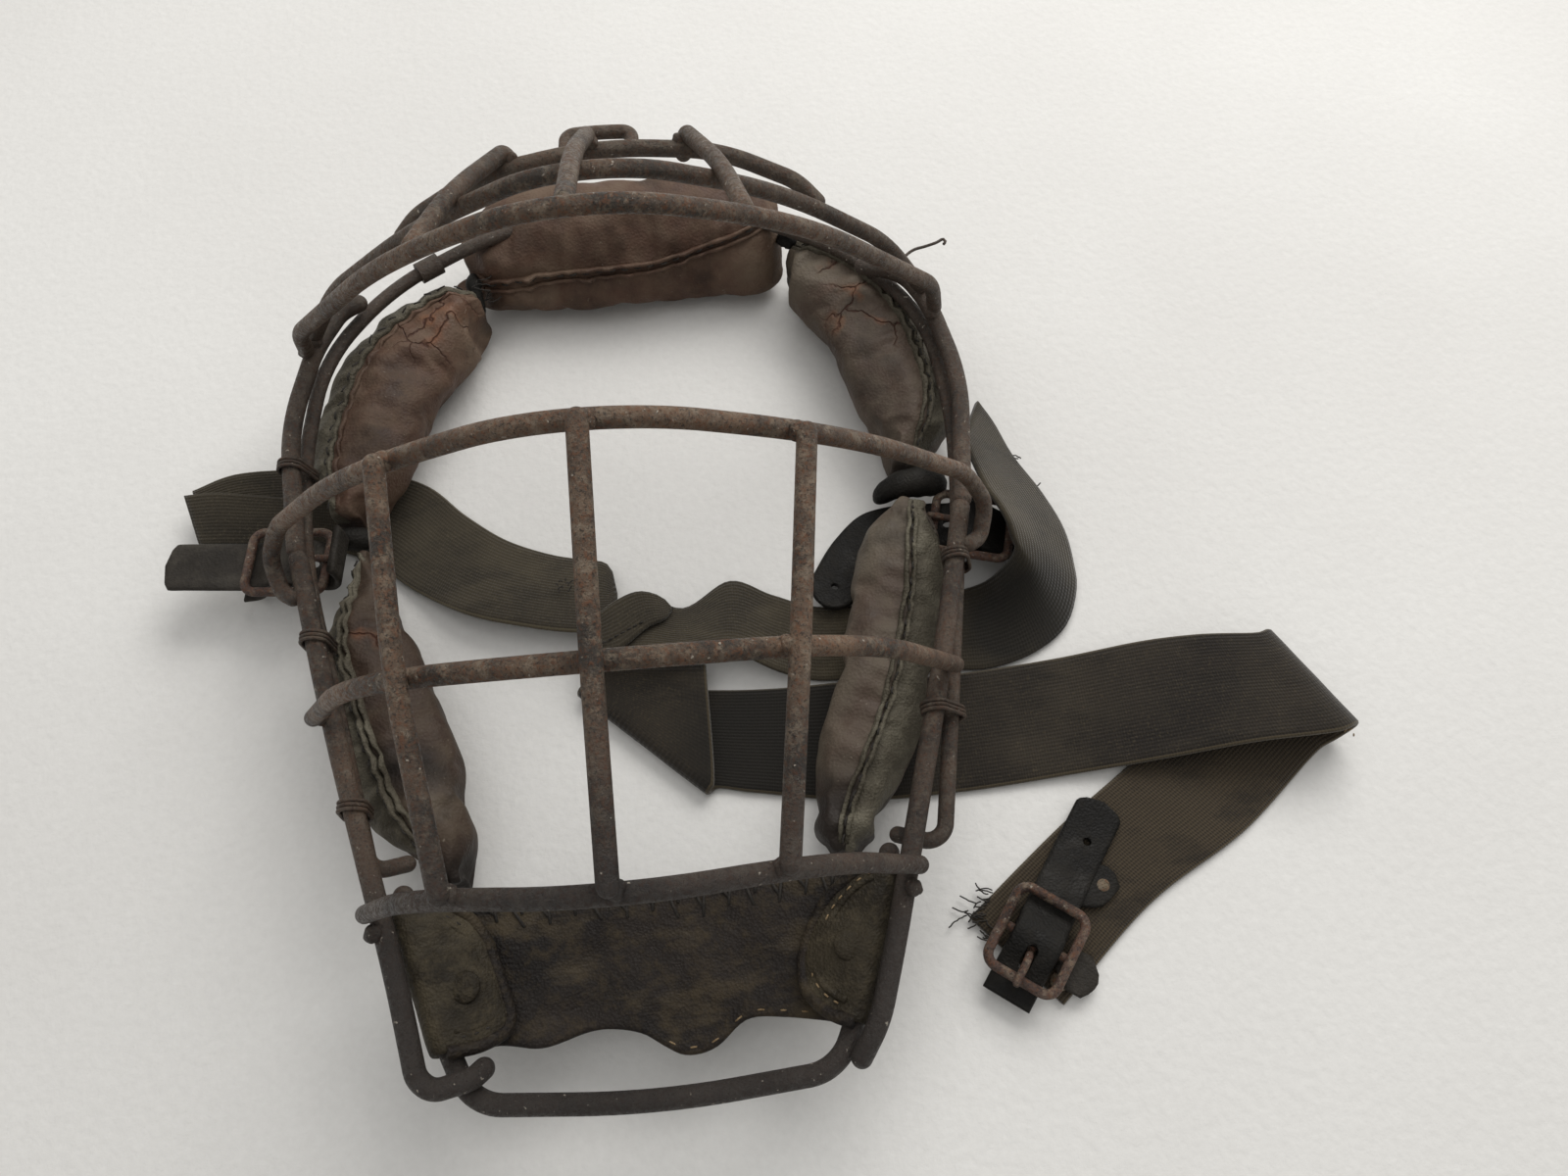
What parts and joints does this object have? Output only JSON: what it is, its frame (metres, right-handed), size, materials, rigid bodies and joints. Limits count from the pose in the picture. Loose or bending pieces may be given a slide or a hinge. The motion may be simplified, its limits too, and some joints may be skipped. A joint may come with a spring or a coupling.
{
  "type": "wire face mask with padded rim and strap harness",
  "caption": "Wire cage face mask with leather pads, a chin sling and an elastic webbing harness with buckles, lying on its back.",
  "frame": {"origin": "middle of the face opening, in the plane the mask and its harness lie on", "axes": "+X to the right of the mask as it is looked at from outside, +Y towards the forehead, +Z out of the cage, away from the face"},
  "size_m": [0.3547, 0.3007, 0.1454],
  "materials": {
    "rusted_steel": "old dark steel wire, rusted brown",
    "buckle_metal": "rusted buckle wire",
    "rivet_metal": "tarnished",
    "pad_leather": "cracked brown leather",
    "sling_leather": "worn brown leather",
    "lining_leather": "rough flesh side",
    "strap_leather": "black strap leather",
    "webbing": "ribbed dark elastic webbing",
    "stuffing": "hair or cotton waste"
  },
  "bodies": {
    "mask": {"back_strap_left": "webbing", "back_strap_right": "webbing", "brow_bar_front": "rusted_steel", "brow_bar_middle": "rusted_steel", "brow_bar_rear": "rusted_steel", "brow_pad": "pad_leather", "brow_pad_stuffing": "stuffing", "brow_post_centre": "rusted_steel", "brow_post_left": "rusted_steel", "brow_post_right": "rusted_steel", "cage_post_centre": "rusted_steel", "cage_post_left": "rusted_steel", "cage_post_right": "rusted_steel", "cheek_bar_lower": "rusted_steel", "cheek_bar_middle": "rusted_steel", "cheek_bar_upper": "rusted_steel", "cheek_pad_left": "pad_leather", "cheek_pad_left_stuffing": "stuffing", "cheek_pad_right": "pad_leather", "cheek_pad_right_stuffing": "stuffing", "chin_lining": "lining_leather", "chin_rivets": "rivet_metal", "chin_sling": "sling_leather", "chin_wire": "rusted_steel", "crown_billet": "strap_leather", "crown_chape": "strap_leather", "crown_rivets": "rivet_metal", "crown_strap": "webbing", "left_billet": "strap_leather", "left_chape": "strap_leather", "lower_side_wire_left": "rusted_steel", "lower_side_wire_right": "rusted_steel", "pad_clip": "rusted_steel", "pad_ring": "rusted_steel", "right_billet": "strap_leather", "right_chape": "strap_leather", "strap_loop": "rusted_steel", "temple_pad_left": "pad_leather", "temple_pad_left_stuffing": "stuffing", "temple_pad_right": "pad_leather", "temple_pad_right_stuffing": "stuffing", "upper_side_wire_left": "rusted_steel", "upper_side_wire_right": "rusted_steel", "wire_ties": "rusted_steel"},
    "left_buckle": {"left_buckle_frame": "buckle_metal"},
    "left_tongue": {"left_buckle_tongue": "buckle_metal"},
    "right_buckle": {"right_buckle_frame": "buckle_metal"},
    "right_tongue": {"right_buckle_tongue": "buckle_metal"},
    "crown_buckle": {"crown_buckle_frame": "buckle_metal"},
    "crown_tongue": {"crown_buckle_tongue": "buckle_metal"}
  },
  "joints": [
    {"name": "left_buckle_rock", "type": "hinge", "parent": "mask", "child": "left_buckle", "pos_m": [-0.107, 0.018, 0.0165], "axis": [0.0872, 0.9962, 0], "range_deg": [-3, 3]},
    {"name": "left_tongue_lift", "type": "hinge", "parent": "left_buckle", "child": "left_tongue", "pos_m": [-0.107, 0.018, 0.0165], "axis": [-0.0872, -0.9962, 0], "range_deg": [0, 12]},
    {"name": "right_buckle_rock", "type": "hinge", "parent": "mask", "child": "right_buckle", "pos_m": [0.1045, 0.0145, 0.0115], "axis": [-0.2588, -0.9659, 0], "range_deg": [-3, 3]},
    {"name": "right_tongue_lift", "type": "hinge", "parent": "right_buckle", "child": "right_tongue", "pos_m": [0.1045, 0.0145, 0.0115], "axis": [0.2588, 0.9659, 0], "range_deg": [0, 12]},
    {"name": "crown_buckle_rock", "type": "hinge", "parent": "mask", "child": "crown_buckle", "pos_m": [0.1032, -0.1118, 0.0062], "axis": [0.809, -0.5878, 0], "range_deg": [-3, 3]},
    {"name": "crown_tongue_lift", "type": "hinge", "parent": "crown_buckle", "child": "crown_tongue", "pos_m": [0.1032, -0.1118, 0.0062], "axis": [-0.809, 0.5878, 0], "range_deg": [0, 12]}
  ]
}
